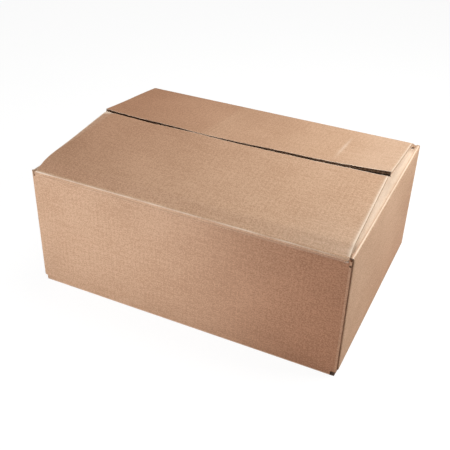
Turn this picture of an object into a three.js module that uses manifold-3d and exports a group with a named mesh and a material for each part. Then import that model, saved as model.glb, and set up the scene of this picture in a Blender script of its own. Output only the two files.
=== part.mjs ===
// A slotted carton of double-wall corrugated board, in millimetres, +Z up. The origin is the centre of the
// underside, +X runs along the long sides and -Y is the front. One folded sheet makes the walls, the closed
// bottom and the end flaps, and the two outer top flaps rest half shut on those end flaps.
import * as THREE from "three";
import { mergeVertices } from "three/addons/utils/BufferGeometryUtils.js";
import Module from "manifold-3d";

const wasm = await Module();
wasm.setup();

// The carton, over its outer liners
const boxLength = 460;
const boxDepth = 340;
const boxHeight = 185; // floor to the folds of the top flaps

// The board and its folds
const board = 7; // two flutes between three liners
const foldRadius = 3; // outer liner round a corner
const creaseBoard = 4.2; // board left between the liners where a fold crushes it
const creaseWidth = 15; // crushed strip beside a top fold
const bendWidth = 12; // stretch over which a top flap flattens out behind its crease
const hingeGap = 0.3; // between a wall's top edge and its flap
const contactGap = 0.3; // between the two outer flaps where they come closest

// Rise of each outer flap above the folds, along its free edge at the left end, the middle and the right end
const frontRise = { left: 27.5, middle: 23.7, right: 27.5 };
const rearRise = { left: 28.7, middle: 24.2, right: 33 };
const rootTilt = THREE.MathUtils.degToRad(26); // slope of a flap over its crease

// How far each outer flap's ends stand in from the box's ends, at the fold and at the free edge
const frontInset = { leftFold: 5.5, leftFree: 14, rightFold: 5.5, rightFree: 8.4 };
const rearInset = { leftFold: 5.5, leftFree: 11, rightFold: 7, rightFree: 5.5 };

// End flaps and bottom flaps
const endFlapDrop = 3.5; // upper face of an end flap below its fold
const endCreaseWidth = 6; // over which it drops
const endFlapClearance = 10; // from an end flap's side edge to the outer face of the long wall beside it
const bottomClearance = 2; // between an inner bottom flap and the long walls
const bottomSeam = 2; // between the two outer bottom flaps
const bottomEndInset = 3.5; // outer bottom flaps, in from the box's ends

// Slots between flaps, cut through the long walls beside their corners
const narrowSlot = { post: 2.5, width: 3, depth: 8 };
const wideSlot = { post: 2.3, width: 6.5, depth: 7 };
const cornerSlot = { post: 0.8, width: 3, depth: 9 };

// Glued joint at the front right corner
const rawEdgeStep = 1; // the front panel's cut edge stops short of the end panel's face
const tabWidth = 35;
const tabTaper = 12;
const tabClearance = 2; // between the tab and the end flaps above and below it
const openFluteDepth = 3; // channels laid open along the front panel's cut edge

// Flutes of the board: between which depths below the outer liner, length of a wave and flat of its crest
const fluteLayers = [
  { from: 0.6, to: 2.9, pitch: 6.5, crest: 1.1 },
  { from: 3.4, to: 6.4, pitch: 7.9, crest: 1.4 },
];
const flutedPaper = 0.45;
const fluteLeg = 0.55; // the fluted paper where it slopes, measured along the flap
const fluteInset = 1.5; // from a flap's end to the first channel

const flapStations = 14; // sections along an outer flap
const arcSegments = 6;
const overrun = 1; // a cutter passes through the faces that it opens

const halfLength = boxLength / 2;
const halfDepth = boxDepth / 2;
const mitre = Math.tan((Math.PI / 2 - rootTilt) / 2); // a top fold's mitre, down over in

// Shapes and solids

function outline(points) {
  return new THREE.Shape(points.map(([a, b]) => new THREE.Vector2(a, b)));
}

// Points of an arc from one angle to another, in degrees.
function arc(a, b, radius, from, to) {
  return Array.from({ length: arcSegments + 1 }, (unused, i) => {
    const angle = THREE.MathUtils.degToRad(THREE.MathUtils.lerp(from, to, i / arcSegments));
    return [a + radius * Math.cos(angle), b + radius * Math.sin(angle)];
  });
}

function solidOf(geometry) {
  const bare = new THREE.BufferGeometry();
  bare.setAttribute("position", geometry.getAttribute("position"));
  bare.setIndex(geometry.index);
  const merged = mergeVertices(bare, 1e-4);
  return new wasm.Manifold(
    new wasm.Mesh({
      numProp: 3,
      vertProperties: merged.attributes.position.array,
      triVerts: new Uint32Array(merged.index.array),
    }),
  );
}

// A prism on an outline in (Y, Z), (X, Z) or (X, Y), reaching between two places on the axis left over.
const prismBases = {
  x: [[0, 1, 0], [0, 0, 1], [1, 0, 0], 1],
  y: [[1, 0, 0], [0, 0, 1], [0, -1, 0], -1],
  z: [[1, 0, 0], [0, 1, 0], [0, 0, 1], 1],
};

function prism(points, axis, from, to) {
  const geometry = new THREE.ExtrudeGeometry(outline(points), { depth: to - from, bevelEnabled: false });
  const [across, upward, along, sense] = prismBases[axis];
  const basis = new THREE.Matrix4().makeBasis(
    new THREE.Vector3(...across),
    new THREE.Vector3(...upward),
    new THREE.Vector3(...along),
  );
  basis.setPosition(new THREE.Vector3(...along).multiplyScalar(sense * (sense > 0 ? from : to)));
  return solidOf(geometry.applyMatrix4(basis));
}

function block(low, high) {
  const corners = [
    [low[0], low[1]],
    [high[0], low[1]],
    [high[0], high[1]],
    [low[0], high[1]],
  ];
  return prism(corners, "z", low[2], high[2]);
}

const join = (solids) => solids.reduce((whole, piece) => whole.add(piece));
const cut = (whole, cutters) => cutters.reduce((rest, cutter) => rest.subtract(cutter), whole);

function meshOf(name, solid, material) {
  const { vertProperties, triVerts } = solid.getMesh();
  const geometry = new THREE.BufferGeometry();
  geometry.setAttribute("position", new THREE.BufferAttribute(vertProperties, 3));
  geometry.setIndex(new THREE.BufferAttribute(triVerts, 1));
  geometry.computeVertexNormals();
  const mesh = new THREE.Mesh(geometry, material);
  mesh.name = name;
  return mesh;
}

// Outer top flaps. x is a place along the box, v the way from the fold over the outer liner and w the
// depth below that liner. A flap leaves its fold steeply, to clear the end flap below, and then flattens.

// Height of the free edge above the folds: a parabola through its two ends and its middle.
function freeEdgeRise(rise, x) {
  const place = x / halfLength;
  const slope = (rise.right - rise.left) / 2;
  const sag = (rise.right + rise.left) / 2 - rise.middle;
  return rise.middle + slope * place + sag * place * place;
}

// Stretches of the outer liner from the fold on: the crease, three steps of the bend and the flat rest.
const bendSteps = [1 / 6, 1 / 2, 5 / 6];

function flapStretches(rise, x, flapDepth) {
  const flatLength = flapDepth - creaseWidth - bendWidth / 2;
  const steepLength = creaseWidth + bendWidth / 2;
  const flatTilt = Math.asin((freeEdgeRise(rise, x) - steepLength * Math.sin(rootTilt)) / flatLength);
  return [
    { length: creaseWidth, tilt: rootTilt },
    ...bendSteps.map((part) => ({
      length: bendWidth / bendSteps.length,
      tilt: THREE.MathUtils.lerp(rootTilt, flatTilt, part),
    })),
    { length: flapDepth - creaseWidth - bendWidth, tilt: flatTilt },
  ];
}

// The flap is cut so that the two free edges all but touch where they lie flattest.
function depthOfFlap() {
  const lowest = Math.min(frontRise.middle, rearRise.middle);
  const steepLength = creaseWidth + bendWidth / 2;
  const reach = halfDepth - contactGap / 2 - steepLength * Math.cos(rootTilt);
  const rise = lowest - steepLength * Math.sin(rootTilt);
  const underEdge = (board * rise) / reach; // the lower corner of a tilted edge leans over the seam
  return steepLength + Math.hypot(reach - underEdge, rise);
}

const flapDepth = depthOfFlap();

// Reach from the wall's face, and rise above the fold, of a point of a flap's section.
function flapSection(rise, x, v, w) {
  const stretches = flapStretches(rise, x, flapDepth);
  let [reach, height, start] = [0, 0, 0];
  for (const [i, stretch] of stretches.entries()) {
    const last = i === stretches.length - 1;
    const part = last ? v - start : Math.min(stretch.length, v - start);
    reach += part * Math.cos(stretch.tilt);
    height += part * Math.sin(stretch.tilt);
    start += stretch.length;
    if (v < start - 1e-6 || last) return sink(reach, height, stretch.tilt, w);
    if (v < start + 1e-6)
      return sink(reach, height, (stretch.tilt + stretches[i + 1].tilt) / 2, w);
  }
}

function sink(reach, height, tilt, w) {
  return { reach: reach + w * Math.sin(tilt), height: height - w * Math.cos(tilt) };
}

function flapPoint(flap, x, v, w) {
  const { reach, height } = flapSection(flap.rise, x, v, w);
  return new THREE.Vector3(x, flap.side * (halfDepth - reach), boxHeight + height);
}

// A sheet as two grids of points, one on each liner, closed by strips round its four sides.
function sheet(rows, columns, pointAt) {
  const points = [];
  for (let layer = 0; layer < 2; layer++)
    for (let i = 0; i < rows; i++)
      for (let j = 0; j < columns; j++) points.push(...pointAt(i, j, layer).toArray());
  const at = (i, j, layer) => (layer * rows + i) * columns + j;
  const faces = [];
  const quad = (a, b, c, d) => faces.push(a, b, c, a, c, d);
  for (let i = 0; i + 1 < rows; i++)
    for (let j = 0; j + 1 < columns; j++) {
      quad(at(i, j, 0), at(i + 1, j, 0), at(i + 1, j + 1, 0), at(i, j + 1, 0));
      quad(at(i, j, 1), at(i, j + 1, 1), at(i + 1, j + 1, 1), at(i + 1, j, 1));
    }
  for (let i = 0; i + 1 < rows; i++)
    for (const [j, swap] of [[0, true], [columns - 1, false]]) {
      const strip = [at(i, j, 0), at(i + 1, j, 0), at(i + 1, j, 1), at(i, j, 1)];
      quad(...(swap ? strip.reverse() : strip));
    }
  for (let j = 0; j + 1 < columns; j++)
    for (const [i, swap] of [[0, false], [rows - 1, true]]) {
      const strip = [at(i, j, 0), at(i, j + 1, 0), at(i, j + 1, 1), at(i, j, 1)];
      quad(...(swap ? strip.reverse() : strip));
    }
  const geometry = new THREE.BufferGeometry();
  geometry.setAttribute("position", new THREE.BufferAttribute(new Float32Array(points), 3));
  geometry.setIndex(faces);
  return solidOf(geometry);
}

function outerTopFlap(flap) {
  const stretches = flapStretches(flap.rise, 0, flapDepth);
  const bends = stretches.reduce((list, { length }) => [...list, list.at(-1) + length], [0]);
  const endAt = (fold, free, v) => THREE.MathUtils.lerp(fold, free, v / flapDepth);
  const pointAt = (i, j, layer) => {
    const v = bends[j];
    const left = -halfLength + endAt(flap.inset.leftFold, flap.inset.leftFree, v);
    const right = halfLength - endAt(flap.inset.rightFold, flap.inset.rightFree, v);
    const x = THREE.MathUtils.lerp(left, right, i / flapStations);
    if (layer === 0) return flapPoint(flap, x, v, 0);
    if (j > 0) return flapPoint(flap, x, v, board);
    return new THREE.Vector3(x, flap.side * (halfDepth - creaseBoard), boxHeight - creaseBoard * mitre);
  };
  const side = flap.side < 0 ? pointAt : (i, j, layer) => pointAt(flapStations - i, j, layer);
  const channels = fluteLayers.flatMap((layer) => fluteChannels(flap, layer));
  return cut(sheet(flapStations + 1, bends.length, side), [join(channels)]);
}

// Channels of one flute layer, open at the flap's free edge and blind where the bend crushes the board.
// They lie in turn over and under the fluted paper, each wide at its liner and narrow at the crest.
function fluteChannels(flap, { from, to, pitch, crest }) {
  const left = -halfLength + flap.inset.leftFree + fluteInset;
  const right = halfLength - flap.inset.rightFree - fluteInset;
  const wide = pitch - crest - 2 * fluteLeg;
  const count = 1 + Math.floor((right - left - wide) / (pitch / 2));
  const first = (left + right - ((count - 1) * pitch) / 2) / 2;
  const ends = [creaseWidth + bendWidth, flapDepth + overrun];
  return Array.from({ length: count }, (unused, k) => {
    const centre = first + (k * pitch) / 2;
    const over = k % 2 === 0;
    const halfWidths = over ? [wide / 2, crest / 2] : [crest / 2, wide / 2];
    const depths = over ? [from, to - flutedPaper] : [from + flutedPaper, to];
    return sheet(2, 2, (i, j, layer) => {
      const turn = (i === 0 ? -1 : 1) * (flap.side < 0 ? 1 : -1);
      return flapPoint(flap, centre + turn * halfWidths[layer], ends[j], depths[layer]);
    });
  });
}

// An end panel with its two folded flaps: a C whose upper arm is the inner top flap and whose lower arm is
// the inner bottom flap, lying on the outer ones.
function endPanel(side) {
  const freeEdge = halfLength - flapDepth;
  const top = boxHeight;
  const flapTop = boxHeight - endFlapDrop;
  const low = board;
  const centre = halfLength - foldRadius;
  const profile = [
    [freeEdge, flapTop],
    [halfLength - endCreaseWidth, flapTop],
    ...arc(centre, top - foldRadius, foldRadius, 110, 0),
    ...arc(centre, low + foldRadius, foldRadius, 0, -90),
    [freeEdge, low],
    [freeEdge, low + board],
    [halfLength - board, low + board],
    [halfLength - board, flapTop - board],
    [freeEdge, flapTop - board],
  ];
  const strip = prism(profile.map(([x, z]) => [side * x, z]), "y", -halfDepth, halfDepth);
  const clearances = [
    { inset: endFlapClearance, low: flapTop - board - overrun, high: top + overrun },
    { inset: board + bottomClearance, low: low - overrun, high: low + board + overrun },
  ];
  const cutters = clearances.flatMap((clear) =>
    [-1, 1].map((end) => {
      const ys = [end * (halfDepth - clear.inset), end * (halfDepth + overrun)].sort((a, b) => a - b);
      const xs = [side * (freeEdge - overrun), side * (halfLength - board)].sort((a, b) => a - b);
      return block([xs[0], ys[0], clear.low], [xs[1], ys[1], clear.high]);
    }),
  );
  return cut(strip, cutters);
}

// A long wall and the outer bottom flap below it. The wall is crushed at its top fold and ends in a mitre.
function longPanel(side) {
  const lowered = hingeGap * Math.hypot(1, mitre);
  const profile = [
    [halfDepth, boxHeight - lowered],
    ...arc(halfDepth - foldRadius, foldRadius, foldRadius, 0, -90),
    [bottomSeam / 2, 0],
    [bottomSeam / 2, board],
    [halfDepth - board, board],
    [halfDepth - board, boxHeight - creaseWidth],
    [halfDepth - creaseBoard, boxHeight - lowered - creaseBoard * mitre],
  ];
  return prism(profile.map(([y, z]) => [side * y, z]), "x", -halfLength, halfLength);
}

// Slots in a long wall: side is the wall, end the corner beside it.
function slotCutter(slot, side, end, atTop) {
  const xs = [end * (halfLength - slot.post), end * (halfLength - slot.post - slot.width)];
  const ys = [side * (halfDepth + overrun), side * (halfDepth - board - overrun)];
  const zs = atTop ? [boxHeight - slot.depth, boxHeight + overrun] : [-overrun, slot.depth];
  const [x, y] = [xs, ys].map((pair) => pair.sort((a, b) => a - b));
  return block([x[0], y[0], zs[0]], [x[1], y[1], zs[1]]);
}

// Plan of the carton: round at three folds, with the front panel's cut edge and the fold of the glue tab
// behind it at the front right corner.
function plan() {
  const [x, y, r] = [halfLength - foldRadius, halfDepth - foldRadius, foldRadius];
  return [
    ...arc(-x, -y, r, 180, 270),
    [halfLength - rawEdgeStep, -halfDepth],
    [halfLength - rawEdgeStep, -halfDepth + board],
    ...arc(x, -halfDepth + board + r, r, -90, 0),
    ...arc(x, y, r, 0, 90),
    ...arc(-x, y, r, 90, 180),
  ];
}

// The tab glued behind the front panel, folded from the right end panel and tapered to its free side.
function glueTab() {
  const low = 2 * board + tabClearance;
  const high = boxHeight - endFlapDrop - board - tabClearance;
  const foldSide = halfLength - board / 2;
  const freeSide = halfLength - board - tabWidth;
  const profile = [
    [foldSide, low],
    [foldSide, high],
    [freeSide, high - tabTaper],
    [freeSide, low + tabTaper],
  ];
  return prism(profile, "y", -halfDepth + board - overrun, -halfDepth + 2 * board);
}

function cartonBody() {
  const sheets = [endPanel(-1), endPanel(1), longPanel(-1), longPanel(1), glueTab()];
  const folded = join(sheets).intersect(prism(plan(), "z", -overrun, boxHeight + overrun));
  const slots = [
    slotCutter(narrowSlot, -1, -1, true),
    slotCutter(wideSlot, -1, 1, true),
    slotCutter(narrowSlot, 1, -1, true),
    slotCutter(wideSlot, 1, 1, true),
    slotCutter(cornerSlot, -1, -1, false),
    slotCutter(wideSlot, -1, 1, false),
    slotCutter(cornerSlot, 1, -1, false),
    slotCutter(cornerSlot, 1, 1, false),
  ];
  const bottomEnds = [-1, 1].map((end) => {
    const xs = [end * (halfLength - bottomEndInset), end * (halfLength + overrun)].sort((a, b) => a - b);
    return block([xs[0], -halfDepth - overrun, -overrun], [xs[1], halfDepth + overrun, board - overrun / 2]);
  });
  const rawEdge = halfLength - rawEdgeStep;
  const channels = fluteLayers.map(({ from, to }) =>
    block(
      [rawEdge - openFluteDepth, -halfDepth + from, -overrun],
      [rawEdge + overrun, -halfDepth + to, boxHeight + overrun],
    ),
  );
  return cut(folded, [...slots, ...bottomEnds, ...channels]);
}

const kraft = new THREE.MeshStandardMaterial({ color: 0xc49a74, roughness: 0.9, metalness: 0 });
const kraftFlap = new THREE.MeshStandardMaterial({ color: 0xcba27c, roughness: 0.9, metalness: 0 });

const carton = new THREE.Group();
carton.add(meshOf("carton_body", cartonBody(), kraft));
carton.add(
  meshOf("front_top_flap", outerTopFlap({ side: -1, rise: frontRise, inset: frontInset }), kraftFlap),
);
carton.add(
  meshOf("rear_top_flap", outerTopFlap({ side: 1, rise: rearRise, inset: rearInset }), kraftFlap),
);

export default carton;
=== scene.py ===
import math

import bpy
import numpy as np
from mathutils import Matrix, Vector


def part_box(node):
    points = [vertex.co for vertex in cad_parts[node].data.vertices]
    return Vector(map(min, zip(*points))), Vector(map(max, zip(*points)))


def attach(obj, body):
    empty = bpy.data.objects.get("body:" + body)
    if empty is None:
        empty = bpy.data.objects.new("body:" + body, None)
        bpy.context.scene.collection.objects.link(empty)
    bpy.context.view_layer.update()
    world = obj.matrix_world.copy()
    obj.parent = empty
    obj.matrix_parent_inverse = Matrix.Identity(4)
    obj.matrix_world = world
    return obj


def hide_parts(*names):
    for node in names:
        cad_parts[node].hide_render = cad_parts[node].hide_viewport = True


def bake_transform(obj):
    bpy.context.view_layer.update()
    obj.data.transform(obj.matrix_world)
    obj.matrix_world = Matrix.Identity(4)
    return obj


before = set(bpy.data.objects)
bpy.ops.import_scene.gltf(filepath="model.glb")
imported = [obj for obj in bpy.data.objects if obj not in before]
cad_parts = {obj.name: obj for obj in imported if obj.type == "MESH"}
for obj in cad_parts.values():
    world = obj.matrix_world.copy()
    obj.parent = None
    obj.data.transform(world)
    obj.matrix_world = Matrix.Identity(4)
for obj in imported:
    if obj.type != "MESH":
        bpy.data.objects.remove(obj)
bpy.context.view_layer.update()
mm = 0.001

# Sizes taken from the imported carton: its walls and the height of its top folds.
_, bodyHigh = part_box("carton_body")
halfX, halfY, foldZ = bodyHigh.x, bodyHigh.y, bodyHigh.z

# The board, in metres. Two flute layers lie between three liners; depth is counted from the outer liner in.
board = {
    "thick": 7 * mm,
    "liner": 0.5 * mm,
    "flutes": [
        {"top": 0.5 * mm, "bottom": 2.9 * mm, "pitch": 6.5 * mm},
        {"top": 3.4 * mm, "bottom": 6.5 * mm, "pitch": 7.9 * mm},
    ],
    "medium": 0.42 * mm,
    "foldRadius": 3 * mm,
    "creaseThick": 4.2 * mm,
    "creaseWidth": 15 * mm,
}
upperFlutes, lowerFlutes = board["flutes"]

# Depth of each liner's outer and inner face.
linerDepths = [
    (0, board["liner"]),
    (upperFlutes["bottom"], lowerFlutes["top"]),
    (lowerFlutes["bottom"], board["thick"]),
]


# Smooth noise in one or two coordinates: a few sine waves of mixed direction, the same on every run.
def wave(a, b=0.0, size=0.05, seed=0, count=7):
    draw = np.random.default_rng(seed)
    total = 0.0
    for k in range(count):
        angle = draw.uniform(0, 2 * math.pi)
        phase = draw.uniform(0, 2 * math.pi)
        rate = 2 * math.pi / size * draw.uniform(0.6, 1.7)
        total = total + np.sin(rate * (a * math.cos(angle) + b * math.sin(angle)) + phase)
    return total / math.sqrt(count)


def smoothstep(value):
    t = np.clip(value, 0, 1)
    return t * t * (3 - 2 * t)


# Rises from 0 to 1 over a length from start on.
def fadeIn(value, start, length):
    return smoothstep((value - start) / length)


# Falls from 1 to 0 over a length that ends at end.
def fadeOut(value, end, length):
    return smoothstep((end - value) / length)


def bell(distance, width):
    return np.exp(-((distance / width) ** 2))


# Node trees


class Wire:
    # One output of a node. Sums and products of wires and numbers add Math nodes.
    def __init__(self, tree, socket):
        self.tree = tree
        self.socket = socket

    def node(self, kind, settings=None, inputs=None, output=0):
        made = self.tree.nodes.new(kind)
        for key, value in (settings or {}).items():
            setattr(made, key, value)
        for key, value in (inputs or {}).items():
            if isinstance(value, Wire):
                self.tree.links.new(value.socket, made.inputs[key])
            else:
                made.inputs[key].default_value = value
        return Wire(self.tree, made.outputs[output])

    def maths(self, operation, *others):
        return self.node("ShaderNodeMath", {"operation": operation}, dict(enumerate((self, *others))))

    def __add__(self, other):
        return self.maths("ADD", other)

    def __radd__(self, other):
        return self.maths("ADD", other)

    def __mul__(self, other):
        return self.maths("MULTIPLY", other)

    def __rmul__(self, other):
        return self.maths("MULTIPLY", other)

    def __sub__(self, other):
        return self.maths("SUBTRACT", other)

    def __rsub__(self, other):
        return (self * -1).maths("ADD", other)

    # Share of the way from low to high, kept between 0 and 1.
    def between(self, low, high):
        return self.node(
            "ShaderNodeMapRange",
            {"clamp": True, "interpolation_type": "SMOOTHSTEP"},
            {"Value": self, "From Min": low, "From Max": high},
        )

    def mixColours(self, first, second):
        return self.node(
            "ShaderNodeMix",
            {"data_type": "RGBA"},
            {0: self, 6: first, 7: second},
            output=2,
        )

    def stretch(self, scale):
        return self.node("ShaderNodeMapping", {"vector_type": "POINT"}, {"Vector": self, "Scale": scale})

    def noise(self, scale, detail=2.0, roughness=0.5):
        inputs = {"Vector": self, "Scale": scale, "Detail": detail, "Roughness": roughness}
        return self.node("ShaderNodeTexNoise", {}, inputs)

    # Joins this shader to the tree's output.
    def show(self, output="ShaderNodeOutputMaterial"):
        self.tree.links.new(self.socket, self.tree.nodes.new(output).inputs["Surface"])


# Empties the node tree of a new material or world, and gives the wire to start from.
def emptyTree(owner):
    owner.use_nodes = True
    owner.node_tree.nodes.clear()
    return Wire(owner.node_tree, None)


# How much each noise of the paper changes its tone, and how far its grain and streaks stand up.
toneShares = {"streaks": 0.9, "grain": 2.4, "mottle": 1.05, "clouds": 0.7}
grainHeight, streakHeight = 0.04 * mm, 0.06 * mm


# Kraft paper on the board's UV map, in metres: u runs across the flutes and v along them. The fibres lie
# across the flutes as streaks, the flutes show through as faint ribs, and folds and edges are rubbed pale.
# The same pale mix also paints light on the lit parts, and a darker brown mix paints shade.
def kraftPaper(name, look):
    material = bpy.data.materials.new(name)
    start = emptyTree(material)
    place = start.node("ShaderNodeUVMap", {"uv_map": "board"})
    # How far the colour goes pale: rubbed wear, and painted light.
    wearAndLight = start.node("ShaderNodeAttribute", {"attribute_name": "wearAndLight"}, output=2)
    # How far the colour goes to the darker browns: painted shade.
    paintedShade = start.node("ShaderNodeAttribute", {"attribute_name": "paintedShade"}, output=2)
    fineStreaks = place.stretch((1, 9, 1)).noise(45, detail=5, roughness=0.65)
    longStreaks = place.stretch((1, 14, 1)).noise(16, detail=3, roughness=0.6)
    noises = {
        "streaks": 0.5 * fineStreaks + 0.5 * longStreaks,
        "grain": place.noise(520, roughness=0.7),
        "mottle": place.stretch((1, 1.15, 1)).noise(170, detail=4, roughness=0.75),
        "clouds": place.noise(9, detail=3, roughness=0.55),
    }
    fibres = place.stretch((1, 3, 1)).noise(1100, roughness=0.6)
    flecks = place.noise(300, detail=1, roughness=0.4).between(0.72, 0.79)
    bands = place.node(
        "ShaderNodeTexWave",
        {"wave_type": "BANDS", "bands_direction": "X", "wave_profile": "SIN"},
        {
            "Vector": place,
            "Scale": math.pi / (10 * upperFlutes["pitch"]),  # one band per flute
            "Distortion": 1.5,
            "Detail": 2,
            "Detail Scale": 2,
        },
        output=1,
    )
    ribs = (bands - 0.5) * place.noise(25).between(0.35, 0.65)
    tone = 0.5
    for key, share in toneShares.items():
        tone = tone + share * (noises[key] - 0.5)
    shade = (tone + look["ribs"] * ribs).between(0.1, 0.9)
    plain = shade.mixColours(look["dark"], look["light"])
    # Painted shade: the darker browns mixed in.
    base = paintedShade.mixColours(plain, shade.mixColours(look["paintedShadeDark"], look["paintedShadeLight"]))
    base = (flecks * look["flecks"]).mixColours(base, look["fleck"])
    # Rubbed wear and painted light, both mixed to the pale colour.
    rubbedAndLit = wearAndLight * (0.75 + 0.8 * (fibres - 0.5) + 0.7 * (noises["streaks"] - 0.5))
    base = (rubbedAndLit.between(0.1, 0.85) * look["rubAndLight"]).mixColours(base, look["pale"])
    height = grainHeight * noises["grain"] + streakHeight * noises["streaks"] + look["ribHeight"] * ribs
    bump = height.node("ShaderNodeBump", {}, {"Strength": 1.0, "Distance": 1.0, "Height": height})
    shader = base.node(
        "ShaderNodeBsdfPrincipled",
        {},
        {
            "Base Color": base,
            "Roughness": 0.82 + 0.12 * (fibres - 0.5),
            "Normal": bump,
            "Specular IOR Level": 0.3,
        },
    )
    shader.show()
    return material


outerLook = {
    "dark": (0.50, 0.30, 0.185, 1),
    "light": (0.67, 0.445, 0.30, 1),
    "pale": (0.93, 0.79, 0.645, 1),  # the pale colour: where it is rubbed, and where light is painted on
    # The darker browns of painted shade.
    "paintedShadeDark": (0.295, 0.128, 0.068, 1),
    "paintedShadeLight": (0.455, 0.205, 0.11, 1),
    "fleck": (0.30, 0.18, 0.11, 1),
    "flecks": 0.35,
    "ribs": 0.14,
    "ribHeight": 0.035 * mm,
    "rubAndLight": 0.9,
}
innerLook = {**outerLook, "dark": (0.43, 0.28, 0.18, 1), "light": (0.57, 0.39, 0.27, 1)}
cutLook = {**outerLook, "ribs": 0.0, "ribHeight": 0.0}
# Cut edges: the cut paper's own darker brown, darkened further as painted shade on edges turned from the
# lamps.
edgeLook = {**cutLook, "dark": (0.28, 0.17, 0.10, 1), "light": (0.48, 0.32, 0.21, 1)}
mediumLook = {**cutLook, "dark": (0.36, 0.22, 0.14, 1), "light": (0.6, 0.41, 0.275, 1)}
# Near black: painted shadow on the outer bottom flaps' cut edges, standing in for the shade in the gaps
# there.
paintedShadowLook = {**cutLook, "dark": (0.05, 0.025, 0.015, 1), "light": (0.11, 0.06, 0.04, 1), "rubAndLight": 0.1}
papers = [
    kraftPaper("kraft_outer_liner", outerLook),
    kraftPaper("kraft_inner_liner", innerLook),
    kraftPaper("kraft_cut_edge", edgeLook),
    kraftPaper("kraft_fluting", mediumLook),
    kraftPaper("kraft_edge_painted_shadow", paintedShadowLook),
]
outerSlot, innerSlot, edgeSlot, mediumSlot, paintedShadowSlot = range(len(papers))
print("papers made")


# Meshes


# Faces of a closed slab: an outer and an inner grid of n by m points and the four strips between them.
def slabFaces(n, m):
    index = np.arange(n * m).reshape(n, m)
    shift = n * m
    outer = np.stack([index[:-1, :-1], index[1:, :-1], index[1:, 1:], index[:-1, 1:]], -1).reshape(-1, 4)
    inner = outer[:, ::-1] + shift
    rims = []
    for line, turned in ((index[0], False), (index[-1], True), (index[:, 0], True), (index[:, -1], False)):
        strip = np.stack([line[:-1], line[1:], line[1:] + shift, line[:-1] + shift], -1)
        rims.append(strip[:, ::-1] if turned else strip)
    return outer, inner, np.concatenate(rims)


sharpAngle = math.radians(38)


# A piece is made of closed slabs. A slab is two grids of points with a UV map, how far it is made pale by
# rubbing and by painted light, how far its colour goes to darker browns as painted shade, and the paper
# slots of its outer face, its inner face and its rim, with a fourth slot where the rim's first and last rows
# differ.
def makePiece(name, slabs, body=None):
    points, faces, uvs, wearsAndLight, paintedShades, slots = [], [], [], [], [], []
    start = 0
    for slab in slabs:
        outer, inner = slab["outer"], slab["inner"]
        n, m = outer.shape[:2]
        groups = slabFaces(n, m)
        across = outer[n // 2, m // 2] - inner[n // 2, m // 2]
        ahead = outer[min(n // 2 + 1, n - 1), m // 2] - outer[max(n // 2 - 1, 0), m // 2]
        aside = outer[n // 2, min(m // 2 + 1, m - 1)] - outer[n // 2, max(m // 2 - 1, 0)]
        if np.dot(np.cross(ahead, aside), across) < 0:
            groups = [group[:, ::-1] for group in groups]
        points += [outer.reshape(-1, 3), inner.reshape(-1, 3)]
        uvs += [slab["uv"].reshape(-1, 2)] * 2
        wearsAndLight += [np.broadcast_to(slab["wearAndLight"], (n, m)).reshape(-1)] * 2
        paintedShades += [np.broadcast_to(slab.get("paintedShade", 0), (n, m)).reshape(-1)] * 2
        sides = 2 * (m - 1)
        groups = (*groups[:2], groups[2][sides:], groups[2][:sides])
        for group, slot in zip(groups, (*slab["slots"], slab["slots"][-1])[:4]):
            faces.append(group + start)
            slots.append(np.full(len(group), slot))
        start += 2 * n * m
    points, faces = np.concatenate(points), np.concatenate(faces)
    uvs, slots = np.concatenate(uvs), np.concatenate(slots)
    mesh = bpy.data.meshes.new(name)
    mesh.vertices.add(len(points))
    mesh.vertices.foreach_set("co", points.astype(np.float32).ravel())
    mesh.loops.add(faces.size)
    mesh.loops.foreach_set("vertex_index", faces.ravel())
    mesh.polygons.add(len(faces))
    mesh.polygons.foreach_set("loop_start", np.arange(0, faces.size, 4))
    mesh.update(calc_edges=True)
    mesh.uv_layers.new(name="board").data.foreach_set("uv", uvs[faces.ravel()].astype(np.float32).ravel())
    for key, values in (("wearAndLight", wearsAndLight), ("paintedShade", paintedShades)):
        values = np.clip(np.concatenate(values), 0, 1).astype(np.float32)
        mesh.attributes.new(key, "FLOAT", "POINT").data.foreach_set("value", values)
    for paper in papers:
        mesh.materials.append(paper)
    mesh.polygons.foreach_set("material_index", slots.astype(np.int32))
    mesh.polygons.foreach_set("use_smooth", np.ones(len(faces), bool))
    mesh.validate()
    mesh.set_sharp_from_angle(angle=sharpAngle)
    print(name, 2 * len(faces), "triangles")
    piece = bpy.data.objects.new(name, mesh)
    bpy.context.scene.collection.objects.link(piece)
    if body:
        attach(piece, body)
    return piece


def stack(*coordinates):
    return np.stack(np.broadcast_arrays(*coordinates), -1)


# Spacing from 0 to 1 that is fine near both ends and coarse between.
def spaced(edge, fine, coarse):
    near = np.arange(0, edge, fine)
    middle = np.linspace(edge, 1 - edge, max(2, int((1 - 2 * edge) / coarse) + 1))
    return np.concatenate([near, middle, 1 - near[::-1]])


# Values from a first one to each stop in turn, every leg evenly spaced with the number of values given.
def spacedThrough(first, *legs):
    values = [np.array([first])]
    for stop, count in legs:
        values.append(np.linspace(values[-1][-1], stop, count)[1:])
    return np.concatenate(values)


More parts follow.
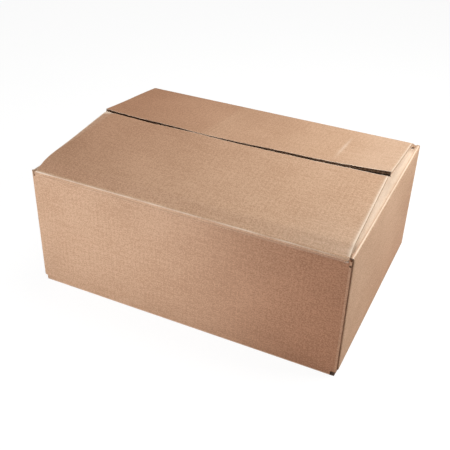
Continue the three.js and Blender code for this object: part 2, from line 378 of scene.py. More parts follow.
# The walls, one sheet carried round the carton: from the front panel's cut edge round by the left end, the
# rear and the right end to the tab glued behind the front panel.
walls = {
    "rawEdgeStep": 1 * mm,  # from the corner back to the cut edge
    "openFlute": 3 * mm,  # how far in from the cut edge the flutes lie open
    "postDrop": 2.5 * mm,  # how much lower the liners end there at the top
    "postTop": 8 * mm,
    "tabWidth": 35 * mm,
    "tabTaper": 12 * mm,
    "tabLow": 16 * mm,
    "tabHigh": foldZ - 12.5 * mm,
    "hingeDrop": 0.35 * mm,
    "mitreDrop": 2.6 * mm,
    "score": {"below": 6 * mm, "depth": 0.35 * mm, "width": 1.0 * mm, "rubbedAndLit": 0.34},
    "pressed": {"inset": 9 * mm, "width": 1.6 * mm, "rubbedAndLit": 0.2},
    "bulge": 0.7 * mm,
    "wideSlot": {"post": 5 * mm, "width": 4 * mm, "depth": 4.5 * mm, "rearDepth": 1.6 * mm},
    "narrowSlot": {"post": 3 * mm, "width": 2.5 * mm, "depth": 8 * mm},
    "footNotch": 8.5 * mm,
    "cornerNotch": 9 * mm,
    "cornerDrop": 0.4 * mm,
    "rubbedAndLit": {"fold": 0.4, "foldWidth": 1.0 * mm, "corner": 0.3, "rearTop": 0.2},
    # Painted shade on the walls.
    "paintedShade": {"front": 0.8, "frontPower": 2.2, "right": 0.06, "rightLow": 0.34},
    "columnStep": 5 * mm,
    "fineColumns": (6 * mm, 14 * mm, 0.7 * mm),  # start, end and step beside the pressed line
    "rows": {"edge": 14 * mm, "fine": 0.5 * mm, "coarse": 6 * mm},
}


# Plan of the sheet as points and outward directions: straights, and quarter turns at the folds.
def planOfWalls():
    r = board["foldRadius"]
    tabY = -halfY + board["thick"]
    innerX = halfX - board["thick"]
    turns = np.linspace(0, 1, 9)
    wide, narrow = walls["wideSlot"], walls["narrowSlot"]
    tiny = 0.01 * mm

    def straight(start, end, breaks=()):
        length = np.hypot(end[0] - start[0], end[1] - start[1])
        along = np.linspace(0, length, int(length / walls["columnStep"]) + 2)
        extra = np.array([value + sign * tiny for value in breaks for sign in (-0.5, 0.5)])
        along = np.unique(np.concatenate([along, extra]))
        t = (along / length)[:, None]
        direction = (np.array(end) - np.array(start)) / length
        spots = np.array(start) + (np.array(end) - np.array(start)) * t
        return spots, np.tile([-direction[1], direction[0]], (len(along), 1))

    def turn(centre, fromAngle, toAngle):
        angle = np.radians(fromAngle + (toAngle - fromAngle) * turns)
        out = np.stack([np.cos(angle), np.sin(angle)], -1)
        return np.array(centre) + r * out, out

    step = walls["rawEdgeStep"] + walls["openFlute"]
    frontBreaks = [
        wide["post"] - step,
        wide["post"] + wide["width"] - step,
        *np.arange(*walls["fineColumns"]),
        2 * halfX - step - narrow["post"] - narrow["width"],
    ]
    rearBreaks = [narrow["width"]]
    rearBreaks += [2 * halfX - r - edge for edge in (wide["post"] + wide["width"], wide["post"])]
    runs = [
        straight((halfX - step, -halfY), (-halfX + r, -halfY), frontBreaks),
        turn((-halfX + r, -halfY + r), -90, -180),
        straight((-halfX, -halfY + r), (-halfX, halfY - r)),
        turn((-halfX + r, halfY - r), 180, 90),
        straight((-halfX + r, halfY), (halfX - r, halfY), rearBreaks),
        turn((halfX - r, halfY - r), 90, 0),
        straight((halfX, halfY - r), (halfX, tabY + r)),
        turn((halfX - r, tabY + r), 0, -90),
        straight((halfX - r, tabY), (innerX - walls["tabWidth"], tabY)),
    ]
    names = ["front", "corner", "left", "corner", "rear", "corner", "right", "tabFold", "tab"]
    spots, out, panel = [], [], []
    for name, (places, normals) in zip(names, runs):
        keep = slice(0, None) if not spots else slice(1, None)
        spots.append(places[keep])
        out.append(normals[keep])
        panel += [name] * len(places[keep])
    return np.concatenate(spots), np.concatenate(out), np.array(panel)


# Lowest and highest point of the sheet in each column of the plan, with the slots beside the corners.
def wallHeights(spots, panel):
    r, thick = board["foldRadius"], board["thick"]
    wide, narrow = walls["wideSlot"], walls["narrowSlot"]
    x = spots[:, 0]
    low = np.full(len(x), r)
    high = np.full(len(x), foldZ - walls["hingeDrop"])
    ends = (panel == "left") | (panel == "right")
    low = np.where(ends, thick + r, low)
    high = np.where(ends, foldZ - r, high)
    corner = (panel == "corner") | (panel == "tabFold")
    low = np.where(corner, walls["cornerNotch"], low)
    high = np.where(corner, foldZ - walls["cornerDrop"], high)
    beyond = (x > halfX - wide["post"] - wide["width"]) & ~ends & ~corner & (panel != "tab")
    inNarrow = (x < -halfX + narrow["post"] + narrow["width"]) & ~ends & ~corner
    slot = np.where(panel == "front", wide["depth"], wide["rearDepth"])
    high = np.where(beyond & (x < halfX - wide["post"]), foldZ - slot, high)
    high = np.where(inNarrow, foldZ - narrow["depth"], high)
    low = np.where(beyond | inNarrow, walls["footNotch"], low)
    tab = panel == "tab"
    taper = walls["tabTaper"] * (halfX - r - x) / walls["tabWidth"]
    low = np.where(tab, walls["tabLow"] + taper, low)
    high = np.where(tab, walls["tabHigh"] - taper, high)
    return low, high


# How far the walls are rubbed pale: at their folds, on the score and the corners, and on a faint pressed
# line beside the front panel's cut edge. They are also paler high up on the right end's rear part.
def wallWear(x, y, z, score, on):
    rubbedAndLit, pressed = walls["rubbedAndLit"], walls["pressed"]
    fromFold = np.minimum(foldZ - z, np.where(on("front", "rear"), z, z - board["thick"]))
    wearAndLight = rubbedAndLit["fold"] * np.exp(-np.clip(fromFold, 0, 1) / rubbedAndLit["foldWidth"])
    wearAndLight = np.maximum(wearAndLight + walls["score"]["rubbedAndLit"] * score, np.where(on("corner"), rubbedAndLit["corner"], 0))
    rearTop = smoothstep(y / halfY) * smoothstep(z / foldZ)
    wearAndLight = wearAndLight + np.where(on("right"), rubbedAndLit["rearTop"] * rearTop, 0)
    line = bell(halfX - x - pressed["inset"], pressed["width"]) * (0.7 + 0.3 * wave(z, size=0.09, seed=31))
    return wearAndLight + np.where(on("front"), pressed["rubbedAndLit"] * line, 0)


# Painted shade on the walls: darker towards the front's right, and low on the right end's rear.
def wallPaintedShade(x, y, z, on):
    paintedShade = walls["paintedShade"]
    toRight, toRear = smoothstep(x / (2 * halfX) + 0.5), smoothstep(y / (2 * halfY) + 0.5)
    front = paintedShade["front"] * toRight ** paintedShade["frontPower"]
    right = paintedShade["right"] + paintedShade["rightLow"] * (1 - z / foldZ) * toRear
    return np.where(on("right"), right, np.where(on("front"), front, 0))


# Beside the cut edge the liners stand alone, with the flutes open between them.
def cutEdgeSlabs(z):
    x = halfX - walls["rawEdgeStep"] - np.array([[0], [walls["openFlute"]]])
    z = z - walls["postDrop"] * (z > foldZ - walls["postTop"]) + 0 * x
    slabs = []
    for top, under in linerDepths:
        slabs.append(
            {
                "outer": stack(x, -halfY + top, z),
                "inner": stack(x, -halfY + under, z),
                "uv": stack(x - halfX, z),
                "wearAndLight": 0.1,
                # Painted shade on the liners beside the cut edge.
                "paintedShade": 0.5,
                "slots": (outerSlot if top == 0 else edgeSlot, edgeSlot, edgeSlot),
            }
        )
    return slabs


def buildWalls():
    spots, out, panel = planOfWalls()
    low, high = wallHeights(spots, panel)
    thick, rows = board["thick"], walls["rows"]
    share = spaced(rows["edge"] / foldZ, rows["fine"] / foldZ, rows["coarse"] / foldZ)[None, :]
    z = low[:, None] + (high - low)[:, None] * share
    steps = np.hypot(*np.diff(spots, axis=0).T)
    along = np.concatenate([[0], np.cumsum(steps)])[:, None]
    x, y = spots[:, :1], spots[:, 1:]

    # Which columns of the sheet lie on the panels named.
    def on(*names):
        return np.isin(panel, names)[:, None]

    long, tab = on("front", "rear"), on("tab", "tabFold")
    # Outer liner: a shallow dome on each panel that dies out at its folds, with slow waves and the score.
    domeX = np.cos(np.clip(x / halfX, -1, 1) * math.pi / 2)
    domeY = np.cos(np.clip(y / halfY, -1, 1) * math.pi / 2)
    dome = np.where(long, domeX, domeY) * np.sin(np.clip(z / foldZ, 0, 1) * math.pi)
    score = bell(foldZ - z - walls["score"]["below"], walls["score"]["width"])
    push = walls["bulge"] * dome * (0.6 + 0.5 * wave(along, z, size=0.35, seed=3))
    push = push - np.where(long, walls["score"]["depth"] * score, 0)
    push = np.where(tab, 0, push)
    # Inner liner: square in the corners, and nearer to the outer one where the long walls are creased.
    crush = np.clip((foldZ - z) / board["creaseWidth"], 0, 1)
    depth = np.where(long, board["creaseThick"] + (thick - board["creaseThick"]) * crush, thick)
    limitLow = np.where(on("right") | tab, -halfY + 2 * thick, -halfY + depth)
    innerX = np.clip(x, -halfX + thick, halfX - thick) + 0 * z
    innerX = np.where(on("front") & (x > halfX - thick), x, innerX)
    innerY = np.clip(y + 0 * z, limitLow, halfY - depth)
    mitre = walls["mitreDrop"] * (share - 0.5) * 2 * (share > 0.9)
    sheet = {
        "outer": stack(x + out[:, :1] * push, y + out[:, 1:] * push, z),
        "inner": stack(innerX, innerY, z - np.where(long, mitre, 0)),
        "uv": stack(along, z),
        "wearAndLight": wallWear(x, y, z, score, on),
        "paintedShade": wallPaintedShade(x, y, z, on),
        "slots": (outerSlot, innerSlot, mediumSlot),
    }
    return makePiece("walls", [sheet, *cutEdgeSlabs(z[:1])], "carton")


wallPiece = buildWalls()
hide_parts("carton_body")
print("walls made")


# The inner top flaps, folded in over the end panels.
endFlaps = {
    "depth": 171 * mm,
    "clearance": 10 * mm,
    "drop": 3.5 * mm,  # into the crease at the flap's two sides
    "crease": 6 * mm,
    "riseLength": 12 * mm,
    "fall": 0.45,
    "domePower": 1.3,
    "ripple": 0.2 * mm,
    "crown": {"place": -1.2 * mm, "width": 1.1 * mm, "rubbedAndLit": 0.95},
    # Where the steep rise beside the fold is made paler as painted light.
    "paintedLightRamp": {"place": 6 * mm, "width": 12 * mm},
    "nearFold": 30 * mm,  # rows are closer together up to here
    "columns": 90,
    # Each side's last value is how strongly light is painted on that rise; the right flap gets more.
    "sides": [
        {"name": "left_end_flap", "side": -1, "spring": 14 * mm, "rubbedAndLit": 0.55},
        {"name": "right_end_flap", "side": 1, "spring": 17 * mm, "rubbedAndLit": 0.75},
    ],
}


# An inner top flap: a quarter turn over the end panel's fold, a drop into the crease at its two sides, and
# between them a dome where the board springs back up under the outer flaps.
def buildEndFlap(flap):
    r, thick, side = board["foldRadius"], board["thick"], flap["side"]
    halfWidth = halfY - endFlaps["clearance"]
    angle = np.radians(np.linspace(0, 90, 10))
    inward = spacedThrough(0, (endFlaps["nearFold"], 31), (endFlaps["depth"] - r, 30))[1:]
    away = np.concatenate([-r * np.cos(angle), inward])
    turned = np.concatenate([r * np.sin(angle) - r, 0 * inward])
    overFold = np.arange(len(away)) <= len(angle)
    high = np.where(overFold, halfY - r, halfWidth)
    low = np.where(overFold & (side > 0), -halfY + 0.6 * thick, -high)
    y = low + (high - low) * np.linspace(0, 1, endFlaps["columns"])[:, None]
    dome = np.clip(1 - np.abs(y / halfWidth) ** endFlaps["domePower"], 0, 1)

    def height(s):
        sunk = -endFlaps["drop"] * smoothstep(s / endFlaps["crease"]) * (1 - smoothstep(3 * dome))
        spring = smoothstep(s / endFlaps["riseLength"]) * (1 - endFlaps["fall"] * s / endFlaps["depth"])
        return foldZ + sunk + flap["spring"] * dome * spring

    s = np.clip(away, 0, None) + 0 * y
    x = halfX - r - away + 0 * y
    crown, paintedLightRamp = endFlaps["crown"], endFlaps["paintedLightRamp"]
    onCrown = crown["rubbedAndLit"] * bell(away - crown["place"], crown["width"])
    # Painted light: the steep rise beside the fold is made paler, as if lit from the right.
    paintedLightOnRamp = flap["rubbedAndLit"] * bell(away - paintedLightRamp["place"], paintedLightRamp["width"]) * (away > 0)
    ripple = endFlaps["ripple"] * wave(y, x, size=0.09, seed=2 + side)
    slab = {
        "outer": stack(side * x, y, height(s) + turned + ripple),
        "inner": stack(side * np.minimum(x, halfX - thick), y, height(np.maximum(s, thick - r)) - thick),
        "uv": stack(y, away + side),
        "wearAndLight": np.maximum(onCrown, paintedLightOnRamp),
        "slots": (outerSlot, innerSlot, edgeSlot),
    }
    return makePiece(flap["name"], [slab], "carton")


for endFlap in endFlaps["sides"]:
    buildEndFlap(endFlap)
print("end flaps made")

bottom = {
    "depth": 171 * mm,
    "seam": 2 * mm,
    "clearance": 2 * mm,
    "endInset": 3.5 * mm,
    "notchDepth": 1.3 * mm,
    "leftNotch": 5.5 * mm,
    "rightNotch": 9.5 * mm,
    "ripple": 0.25 * mm,
    "still": 12 * mm,  # no ripple this near to the walls
    "grow": 20 * mm,  # and it grows over this length further in
    "rubbedAndLit": {"outer": 0.5, "inner": 0.45, "flat": 0.1},
    "columns": 70,
    "rows": 36,
}


# A bottom flap folded from a wall by a quarter turn, under a long wall or an end. Its section is a path of
# the outer liner as (out, up) and the matching points of the inner liner, and its ends lie at low and high
# along the fold. The ripple only lifts it.
def makeBottomFlap(name, side, underLong, section, low, high, wearAndLight, rim):
    def placed(across, out, up):
        return stack(across, side * out, up) if underLong else stack(side * out, across, up)

    out, up, innerOut, innerUp = section
    steps = np.concatenate([[0], np.cumsum(np.hypot(np.diff(out), np.diff(up)))])
    across = low + (high - low) * np.linspace(0, 1, bottom["columns"])[:, None]
    x, y, _ = np.moveaxis(placed(across, out, up), -1, 0)
    inland = fadeOut(abs(x), halfX - bottom["still"], bottom["grow"])
    inland = inland * fadeOut(abs(y), halfY - bottom["still"], bottom["grow"])
    ripple = bottom["ripple"] * abs(wave(x, y, size=0.12, seed=5)) * inland
    slab = {
        "outer": placed(across, out, up + ripple),
        "inner": placed(across, innerOut, innerUp + ripple),
        "uv": stack(across + (5 if underLong else 9) + side, steps),
        "wearAndLight": wearAndLight,
        "slots": (outerSlot, innerSlot, rim),
    }
    return makePiece(name, [slab], "carton")


# Bottom flaps: the outer pair under the long walls, meeting at the seam, and the inner pair lying on them.
def buildBottom():
    r, thick, rubbedAndLit = board["foldRadius"], board["thick"], bottom["rubbedAndLit"]
    angle = np.radians(np.linspace(0, 90, 8))
    flat = np.linspace(halfY - r, bottom["seam"] / 2, bottom["rows"])[1:]
    out = np.concatenate([halfY - r + r * np.cos(angle), flat])
    up = np.concatenate([r - r * np.sin(angle), np.zeros(len(flat))])
    section = (out, up, np.minimum(out, halfY - thick), np.full(len(out), thick))
    folded = np.arange(len(out)) < len(angle)
    notched = out > halfY - bottom["notchDepth"]
    low = -halfX + np.where(notched, bottom["leftNotch"], bottom["endInset"])
    high = halfX - np.where(notched, bottom["rightNotch"], bottom["endInset"])
    wearAndLight = np.where(folded, rubbedAndLit["outer"], rubbedAndLit["flat"])
    for name, side in (("front_bottom_flap", -1), ("rear_bottom_flap", 1)):
        # Their cut edges take the near-black painted shadow.
        makeBottomFlap(name, side, True, section, low, high, wearAndLight, paintedShadowSlot)
    flat = np.linspace(halfX - r, halfX - bottom["depth"], bottom["rows"])[1:]
    out = np.concatenate([halfX - r + r * np.cos(angle), flat])
    up = np.concatenate([thick + r - r * np.sin(angle), np.full(len(flat), thick + 0.02 * mm)])
    section = (out, up, np.minimum(out, halfX - thick), np.full(len(out), 2 * thick))
    halfWidth = halfY - thick - np.where(folded, 0, bottom["clearance"])
    wearAndLight = np.where(folded, rubbedAndLit["inner"], rubbedAndLit["flat"])
    for name, side in (("left_bottom_flap", -1), ("right_bottom_flap", 1)):
        makeBottomFlap(name, side, False, section, -halfWidth, halfWidth, wearAndLight, edgeSlot)


buildBottom()
print("bottom made")

# Outer top flaps. "rise" is the height of the free edge above the folds at its left end, middle and right
# end, and "inset" how far the flap's ends stay back: left at the fold and free edge, then right.

rootTilt = math.radians(26)
flapBend = 12 * mm
frontFlap = {
    "side": -1,
    "body": "front_flap",
    "node": "front_top_flap",
    "rise": (27.5 * mm, 23.7 * mm, 27.5 * mm),
    "inset": (7.5 * mm, 14 * mm, 5.5 * mm, 8.4 * mm),
    "seed": 11,
    # The value for the right is painted light.
    "rubbedAndLit": {"band": 0.32, "corner": 0.7, "rightEnd": 0.8, "right": 0.2, "nearFold": 0.14},
    # Painted shade, darker towards the left.
    "paintedShade": {"left": 0.38, "leftHalf": 0.07},
}
rearFlap = {
    "side": 1,
    "body": "rear_flap",
    "node": "rear_top_flap",
    "rise": (28.7 * mm, 24.2 * mm, 33 * mm),
    "inset": (9 * mm, 11 * mm, 10.5 * mm, 5.5 * mm),
    "seed": 23,
    # Painted light, paler towards the right.
    "rubbedAndLit": {"right": 0.36},
    "bends": ((140 * mm, 0.38), (32 * mm, 0.22)),  # place along the flap, and how far rubbed
    # Painted shade, darker towards the left with a step.
    "paintedShade": {"step": 0.13, "left": 0.26, "leftHalf": 0.22},
}
lowestRise = min(frontFlap["rise"][1], rearFlap["rise"][1])
contactGap = 0.3 * mm  # between the two free edges where they lie flattest
steepLength = board["creaseWidth"] + flapBend / 2  # the root's length, with half of the bend


# The flaps' depth along their liner, with which the two free edges nearly touch.
def depthOfFlap():
    reach = halfY - contactGap / 2 - steepLength * math.cos(rootTilt)
    rise = lowestRise - steepLength * math.sin(rootTilt)
    return steepLength + math.hypot(reach - board["thick"] * rise / reach, rise)


flapDepth = depthOfFlap()


# The free edges touch at one place left of the middle and part beside it, which dies out at both ends and
# inwards. Each pair is the place where it has died out, and the length that this takes.
seam = {
    "touch": 62 * mm,
    "touchWidth": 22 * mm,
    "part": 1.5 * mm,
    "right": (195 * mm, 110 * mm),
    "left": (175 * mm, 70 * mm),
    "inward": (90 * mm, 80 * mm),
}
flapWaves = {"height": 0.35 * mm, "size": 0.16, "grow": 40 * mm}

# The front flap's softened left end: its corner, the sag behind it, the free edge that the rear flap presses
# down and back, and the slack root beside the fold.
leftEnd = {
    "corner": {"lift": 0.5 * mm, "along": 16 * mm, "inward": 18 * mm},
    "sag": {"drop": 0.4 * mm, "start": 12 * mm, "grow": 70 * mm, "along": 26 * mm, "power": 1.5},
    "pressed": {"drop": 1.6 * mm, "start": 95 * mm, "grow": 60 * mm, "inward": 3 * mm},
    "back": {"step": 1.1 * mm, "start": 80 * mm, "grow": 60 * mm, "inward": 6 * mm},
    "root": {"drop": 1.3 * mm, "place": 19 * mm, "width": 13 * mm, "along": 30 * mm},
}


# Height added to the front flap at its left end.
def leftEndLift(x, v, fromLeft):
    corner, sag, pressed, root = (leftEnd[key] for key in ("corner", "sag", "pressed", "root"))
    free = flapDepth - v
    lift = corner["lift"] * np.clip(1 - fromLeft / corner["along"] - free / corner["inward"], 0, 1)
    soft = np.clip(1 - fromLeft / sag["along"], 0, 1) ** sag["power"]
    lift = lift - sag["drop"] * fadeIn(v, sag["start"], sag["grow"]) * soft
    nearFree = np.exp(-free / pressed["inward"])
    lift = lift - pressed["drop"] * fadeIn(-x, pressed["start"], pressed["grow"]) * nearFree
    slack = bell(v - root["place"], root["width"]) * np.clip(1 - fromLeft / root["along"], 0, 1) ** 2
    return lift - root["drop"] * slack


# Height added to a flap by wear: slow waves, the parted free edges, and the front flap's left end.
def flapLift(flap, x, v, fromLeft):
    slow = wave(x, v, size=flapWaves["size"], seed=flap["seed"]) * smoothstep(v / flapWaves["grow"])
    beside = 1 - bell(x + seam["touch"], seam["touchWidth"])
    beside = beside * fadeOut(x, *seam["right"]) * fadeOut(-x, *seam["left"])
    beside = beside * fadeOut(flapDepth - v, *seam["inward"])
    lift = flapWaves["height"] * slow + flap["side"] * seam["part"] / 2 * beside
    return lift + leftEndLift(x, v, fromLeft) if flap["side"] < 0 else lift


slopeSteps = 700
mitreLength = 2.5 * mm


# Points of a flap from a share a of its width, a distance v from the fold and a depth w below its liner.
# The slope along v starts at the root's and eases to the flat part's; reach and rise are its running sums.
# At the fold the board is crushed, and its layers end on a mitre with the wall's.
def flapPoints(flap, a, v, w):
    a, v, w = np.atleast_1d(a), np.atleast_1d(v), np.asarray(w)
    fine = np.linspace(0, flapDepth, slopeSteps)
    leftFold, leftFree, rightFold, rightFree = flap["inset"]
    left = -halfX + leftFold + (leftFree - leftFold) * v / flapDepth
    right = halfX - rightFold - (rightFree - rightFold) * v / flapDepth
    x = left[None, :] + a[:, None] * (right - left)[None, :]
    across = x[:, -1:] / halfX
    low, middle, high = flap["rise"]
    goal = middle + (high - low) / 2 * across + ((high + low) / 2 - middle) * across**2
    flat = np.arcsin((goal - steepLength * math.sin(rootTilt)) / (flapDepth - steepLength))
    tilt = flat + (rootTilt - flat) * (1 - fadeIn(fine[None, :], board["creaseWidth"], flapBend))
    pace = fine[1] - fine[0]
    reach = np.cumsum(np.cos(tilt), 1) * pace - np.cos(tilt) * pace / 2
    rise = np.cumsum(np.sin(tilt), 1) * pace - np.sin(tilt) * pace / 2
    spot = np.clip(v / pace, 0, len(fine) - 1.001)
    step = spot.astype(int)
    part = (spot - step)[None, :]
    sums = (reach, rise, tilt)
    reachV, riseV, tiltV = (grid[:, step] * (1 - part) + grid[:, step + 1] * part for grid in sums)
    over = np.clip(v - flapDepth, 0, None)[None, :]
    reachV, riseV = reachV + over * np.cos(tiltV), riseV + over * np.sin(tiltV)
    thin = board["creaseThick"] / board["thick"]
    crush = (thin + (1 - thin) * smoothstep(v / board["creaseWidth"]))[None, :]
    mitre = np.exp(-v / mitreLength)[None, :]
    mitreAngle = mitre * (rootTilt - math.pi / 2) / 2
    lean = tiltV + mitreAngle
    depth = w * crush / np.cos(mitreAngle)
    lift = flapLift(flap, x, v[None, :], x - left[None, :])
    y = flap["side"] * (halfY - reachV - depth * np.sin(lean))
    z = foldZ + riseV + lift - depth * np.cos(lean)
    return stack(x, y, z), x


# The front flap's colour: rubbed on a pressed band along its left end and at that end's free corner, paler
# at its right end and towards the fold there, paler towards its right as painted light, and darker towards
# its left as painted shade.
def frontColour(flap, a, v, x):
    rubbedAndLit, paintedShade = flap["rubbedAndLit"], flap["paintedShade"]
    fromLeft, fromRight = a * 2 * halfX, (1 - a) * 2 * halfX
    band = fadeOut(fromLeft, 17 * mm * v / flapDepth, 5 * mm) * fadeIn(v, 25 * mm, 50 * mm)
    corner = np.clip(1.5 - fromLeft / (18 * mm) - (flapDepth - v) / (9 * mm), 0, 1)
    nearFold = fadeOut(v, 110 * mm, 100 * mm) * fadeIn(x, 20 * mm, 150 * mm)
    wearAndLight = rubbedAndLit["band"] * band + rubbedAndLit["corner"] * corner + rubbedAndLit["nearFold"] * nearFold
    wearAndLight = wearAndLight + rubbedAndLit["rightEnd"] * np.exp(-fromRight / (2 * mm))
    # Painted light: paler towards the right.
    wearAndLight = wearAndLight + rubbedAndLit["right"] * fadeIn(x, 30 * mm, 180 * mm)
    # Painted shade: darker towards the left.
    toLeft = 1 - fadeIn(x, -halfX, 1.5 * halfX)
    left = paintedShade["left"] * (0.8 + 0.3 * v / flapDepth) * toLeft
    return wearAndLight, left + paintedShade["leftHalf"] * (1 - fadeIn(x, 0, halfX))


# The rear flap's colour: paler towards its right as painted light and, on the outer liner, along faint bends
# where its board lies over a free edge below, and darker towards its left with a step in it, as painted
# shade.
def rearColour(flap, a, v, x, bent):
    inRange = fadeOut(v, flapDepth - 8 * mm, 8 * mm) * fadeIn(v, 45 * mm, 20 * mm)
    # Painted light: paler towards the right.
    wearAndLight = flap["rubbedAndLit"]["right"] * fadeIn(x, 60 * mm, 150 * mm) + 0 * v
    for place, strength in flap["bends"] if bent else ():
        wearAndLight = wearAndLight + strength * bell(x - place, 1.2 * mm) * inRange
    # Painted shade: darker towards the left, with a step.
    paintedShade = flap["paintedShade"]["step"] * fadeIn(-x, 50 * mm, 9 * mm)
    paintedShade = paintedShade + flap["paintedShade"]["left"] * fadeIn(-x, 20 * mm, 200 * mm)
    return wearAndLight, paintedShade + flap["paintedShade"]["leftHalf"] * (1 - fadeIn(x, -10 * mm, 140 * mm))


flapRubbed = {"edge": 0.7, "edgeWidth": 0.9 * mm, "fold": 0.25, "foldWidth": 1.5 * mm}


# How far a flap is made pale by rubbing and painted light and how dark its painted shade is, at a share a of
# its width and v from its fold. The edges and the fold of both flaps are rubbed.
def flapColour(flap, a, v, x, bent):
    a, v = a[:, None], v[None, :]
    fromEdge = np.minimum(flapDepth - v, np.minimum(a, 1 - a) * 2 * halfX)
    wearAndLight, paintedShade = frontColour(flap, a, v, x) if flap["side"] < 0 else rearColour(flap, a, v, x, bent)
    wearAndLight = wearAndLight + flapRubbed["edge"] * np.exp(-fromEdge / flapRubbed["edgeWidth"])
    return wearAndLight + flapRubbed["fold"] * np.exp(-v / flapRubbed["foldWidth"]), paintedShade


# A layer of a flap between two depths. Its free edge is set back by what is given, and the front flap's is
# also pressed back at its left end, where the rear flap lies on it.
def flapLayer(flap, a, v, top, under, ragged=0):
    outer, x = flapPoints(flap, a, v, top)
    inner, _ = flapPoints(flap, a, v, under)
    back = leftEnd["back"]
    setback = ragged - back["step"] * fadeIn(-x, back["start"], back["grow"]) * (flap["side"] < 0)
    setback = flap["side"] * setback * fadeIn(v, flapDepth - back["inward"], back["inward"])
    outer[..., 1] -= setback
    inner[..., 1] -= setback
    return outer, inner, x


layers = {
    "ragged": 0.22 * mm,
    "endWalls": (0.0005, 0.9975),  # share of the width where each starts
    "endWallColumns": np.array([0, 0.0005, 0.0015, 0.002]),
    "fluteStart": board["creaseWidth"] + flapBend + 4 * mm,  # past the bend
    "fluteGap": 0.04 * mm,  # from the fluting's crests to the liners
}


# The three liners. Each has a ragged free edge of its own.
def linerSlabs(flap):
    v = spacedThrough(0.15 * mm, (25 * mm, 26), (flapDepth - 12 * mm, 44), (flapDepth, 14))
    a = spaced(0.025, 0.0025, 0.0095)
    faces = [(outerSlot, edgeSlot), (edgeSlot, edgeSlot), (edgeSlot, innerSlot)]
    slabs = []
    for k, (top, under) in enumerate(linerDepths):
        ragged = layers["ragged"] * wave(a * 2 * halfX, size=0.02, seed=flap["seed"] + k)[:, None]
        outer, inner, x = flapLayer(flap, a, v, top, under, ragged)
        wearAndLight, paintedShade = flapColour(flap, a, v, x, bent=k == 0)
        slabs.append(
            {
                "outer": outer,
                "inner": inner,
                "uv": stack(x + 3, v + flap["side"]),
                "wearAndLight": 0.1 if k == 1 else wearAndLight,
                "paintedShade": paintedShade,
                "slots": (*faces[k], edgeSlot, outerSlot),
            }
        )
    # The ends are cut along the flutes, so the fluted paper stands there as a rough wall between the liners.
    for start in layers["endWalls"]:
        wall = start + layers["endWallColumns"]
        outer, x = flapPoints(flap, wall, v, 0.25 * mm)
        inner, _ = flapPoints(flap, wall, v, board["thick"] - 0.25 * mm)
        slab = {"outer": outer, "inner": inner, "uv": stack(x * 0 + v, 5 + 0 * x), "wearAndLight": 0.5}
        slabs.append({**slab, "slots": (outerSlot, outerSlot, edgeSlot, outerSlot)})
    return slabs


# Fluting: a sine of the width between two liners, with a paper's thickness.
def flutingSlabs(flap):
    nearFree = flapDepth - np.array([9, 6, 4, 2, 0.25]) * mm
    v = np.concatenate([np.linspace(layers["fluteStart"], flapDepth - 12 * mm, 8), nearFree])
    half = board["medium"] / 2
    slabs = []
    for flute in board["flutes"]:
        waves = round(2 * halfX / flute["pitch"])
        a = np.linspace(0.002, 0.998, waves * 8 + 1)
        swing = (flute["bottom"] - flute["top"]) / 2 - half - layers["fluteGap"]
        depth = (flute["top"] + flute["bottom"]) / 2 + swing * np.sin(2 * math.pi * waves * a)[:, None]
        outer, inner, x = flapLayer(flap, a, v, depth - half, depth + half)
        slab = {"outer": outer, "inner": inner, "uv": stack(x + 3, v), "wearAndLight": 0}
        slabs.append({**slab, "slots": (mediumSlot, mediumSlot, mediumSlot)})
    return slabs


def buildFlap(flap):
    slabs = linerSlabs(flap) + flutingSlabs(flap)
    piece = makePiece(flap["node"] + "_board", slabs, flap["body"])
    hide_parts(flap["node"])
    return piece


buildFlap(frontFlap)
buildFlap(rearFlap)
print("outer flaps made")


# The rubbed strip of liner over each outer flap's fold: an arc from the wall's face over to the flap's. It
# lies a little sunk into the fold, and fades into it at its two long edges.
strip = {
    "reach": 3.2 * mm,
    "thick": 0.35 * mm,
    "proud": 0.12 * mm,
    "sunkIn": 0.105 * mm,
    "sunkDown": 0.07 * mm,
    "endGap": 0.3 * mm,
    "knee": 0.45,
    "columns": 200,
    "rows": 25,
    "rubbedAndLit": {"middle": 0.72, "perMetre": -0.8, "waves": 0.18, "width": 1 / 2.9},
}


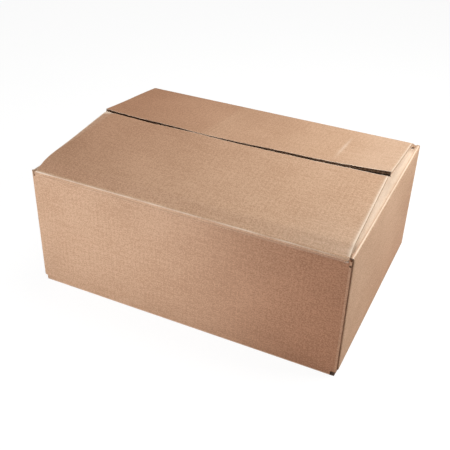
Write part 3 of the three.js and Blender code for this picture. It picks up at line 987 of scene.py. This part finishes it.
def buildFoldStrip(flap):
    side, knee, rows, rubbedAndLit = flap["side"], strip["knee"], strip["rows"], strip["rubbedAndLit"]
    leftFold, _, rightFold, _ = flap["inset"]
    low, high = -halfX + leftFold + strip["endGap"], halfX - rightFold - strip["endGap"]
    x = np.linspace(low, high, strip["columns"])[:, None]
    s = np.linspace(-1, 1, rows)
    # Two straight arms with a round knee: the outward direction turns from the wall's to the flap's.
    direction = math.pi / 2 - fadeIn(s, -knee, 2 * knee) * (math.pi / 2 - rootTilt)
    pace = strip["reach"] * 2 / (rows - 1)
    inward, upward = np.cumsum(np.cos(direction)) * pace, np.cumsum(np.sin(direction)) * pace
    inward, upward = inward - inward[rows // 2], upward - upward[rows // 2]
    outIn, outUp = -np.sin(direction), np.cos(direction)
    uneven = 1 + 0.3 * wave(x, size=0.03, seed=flap["seed"] + 5)
    lift = strip["proud"] * uneven * (1 - 1.5 * np.abs(s) ** 6)
    q = halfY - inward - strip["sunkIn"] + 0 * x
    z = foldZ + upward - strip["sunkDown"] + 0 * x
    worn = rubbedAndLit["middle"] + rubbedAndLit["perMetre"] * x
    worn = worn + rubbedAndLit["waves"] * wave(x, size=0.05, seed=flap["seed"] + 9)
    slab = {
        "outer": stack(x, side * (q - lift * outIn), z + lift * outUp),
        "inner": stack(x, side * (q + strip["thick"] * outIn), z - strip["thick"] * outUp),
        "uv": stack(x + 3, s * strip["reach"] + side * 1.0),
        "wearAndLight": bell(s, rubbedAndLit["width"]) * worn,
        "slots": (outerSlot, edgeSlot, edgeSlot),
    }
    piece = makePiece(flap["node"] + "_fold", [slab])
    hinge = Vector((0, side * halfY, foldZ))
    hinge + Vector((0, -side * 1.6 * mm, 1.0 * mm))
    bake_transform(piece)
    return piece


buildFoldStrip(frontFlap)
buildFoldStrip(rearFlap)
print("fold strips made")


# Studio

camera = {
    "place": (0.37954, -0.85097, 0.66266),
    "forward": (-0.35269, 0.76575, -0.53780),
    "roll": 1.81,
    "lens": 57.83,
    "sensor": 36.0,
}


def buildCamera():
    data = bpy.data.cameras.new("camera")
    data.lens, data.sensor_width = camera["lens"], camera["sensor"]
    data.clip_start, data.clip_end = 0.01, 50
    forward = Vector(camera["forward"]).normalized()
    level = forward.cross(Vector((0, 0, 1))).normalized()
    lifted = level.cross(forward)
    roll = math.radians(camera["roll"])
    right = level * math.cos(roll) + lifted * math.sin(roll)
    up = lifted * math.cos(roll) - level * math.sin(roll)
    turned = Matrix((right, up, -forward)).transposed().to_4x4()
    made = bpy.data.objects.new("camera", data)
    made.matrix_world = Matrix.Translation(Vector(camera["place"])) @ turned
    bpy.context.scene.collection.objects.link(made)
    bpy.context.scene.camera = made


warm, cool = (1.0, 0.99, 0.965), (0.99, 0.985, 1.0)
lamps = [
    {
        "name": "right_softbox",
        "place": (0.85, 0.25, 0.75),
        "aim": (0.05, 0, 0.12),
        "size": 0.5,
        "power": 7.0,
        "colour": warm,
    },
    {
        "name": "top_softbox",
        "place": (0.1, 0.3, 1.2),
        "aim": (0, 0, 0.15),
        "size": 0.8,
        "power": 8.4,
        "colour": warm,
    },
    {
        "name": "left_card",
        "place": (-0.3, -0.85, 0.17),
        "aim": (-0.1, -0.1, 0.08),
        "size": 0.4,
        "power": 2.6,
        "colour": cool,
    },
    {
        "name": "left_softbox",
        "place": (-0.72, -0.8, 0.3),
        "aim": (-0.05, -0.1, 0.1),
        "size": 0.4,
        "power": 1.8,
        "colour": cool,
    },
    {
        "name": "table_bounce",
        "place": (0.05, -0.6, 0.06),
        "aim": (0.03, -0.17, 0.04),
        "size": 0.1,
        "power": 0.3,
        "colour": cool,
    },
]


def buildLamps():
    for lamp in lamps:
        data = bpy.data.lights.new(lamp["name"], "AREA")
        data.size = lamp["size"]
        data.energy = lamp["power"]
        data.color = lamp["colour"]
        made = bpy.data.objects.new(lamp["name"], data)
        made.location = lamp["place"]
        made.rotation_euler = (Vector(lamp["aim"]) - made.location).to_track_quat("-Z", "Y").to_euler()
        bpy.context.scene.collection.objects.link(made)


floorSheet = {"size": 6.0, "white": (0.86, 0.86, 0.86, 1), "glow": 1.1, "glowSeen": 0.85}
worldStrength = 0.05


# The floor keeps a faint shadow of the carton under an otherwise white sheet.
def buildFloor():
    size = floorSheet["size"]
    corners = [(-size, -size, 0), (size, -size, 0), (size, size, 0), (-size, size, 0)]
    mesh = bpy.data.meshes.new("floor")
    mesh.from_pydata(corners, [], [(0, 1, 2, 3)])
    floor = bpy.data.objects.new("floor", mesh)
    bpy.context.scene.collection.objects.link(floor)
    material = bpy.data.materials.new("floor_paper")
    start = emptyTree(material)
    seen = start.node("ShaderNodeLightPath", output=0)
    matt = start.node("ShaderNodeBsdfDiffuse", {}, {"Color": floorSheet["white"]})
    glow = start.node("ShaderNodeEmission", {}, {"Color": (1, 1, 1, 1), "Strength": floorSheet["glow"]})
    start.node("ShaderNodeMixShader", {}, {0: seen * floorSheet["glowSeen"], 1: matt, 2: glow}).show()
    mesh.materials.append(material)


# White to the camera, and a weak light on the carton.
def buildWorld():
    world = bpy.data.worlds.new("studio")
    bpy.context.scene.world = world
    start = emptyTree(world)
    seen = start.node("ShaderNodeLightPath", output=0)
    strength = worldStrength + seen * (1 - worldStrength)
    sky = start.node("ShaderNodeBackground", {}, {"Color": (1, 1, 1, 1), "Strength": strength})
    sky.show("ShaderNodeOutputWorld")


buildCamera()
buildLamps()
buildFloor()
buildWorld()
bpy.context.scene.view_settings.view_transform = "Standard"
print("studio made")
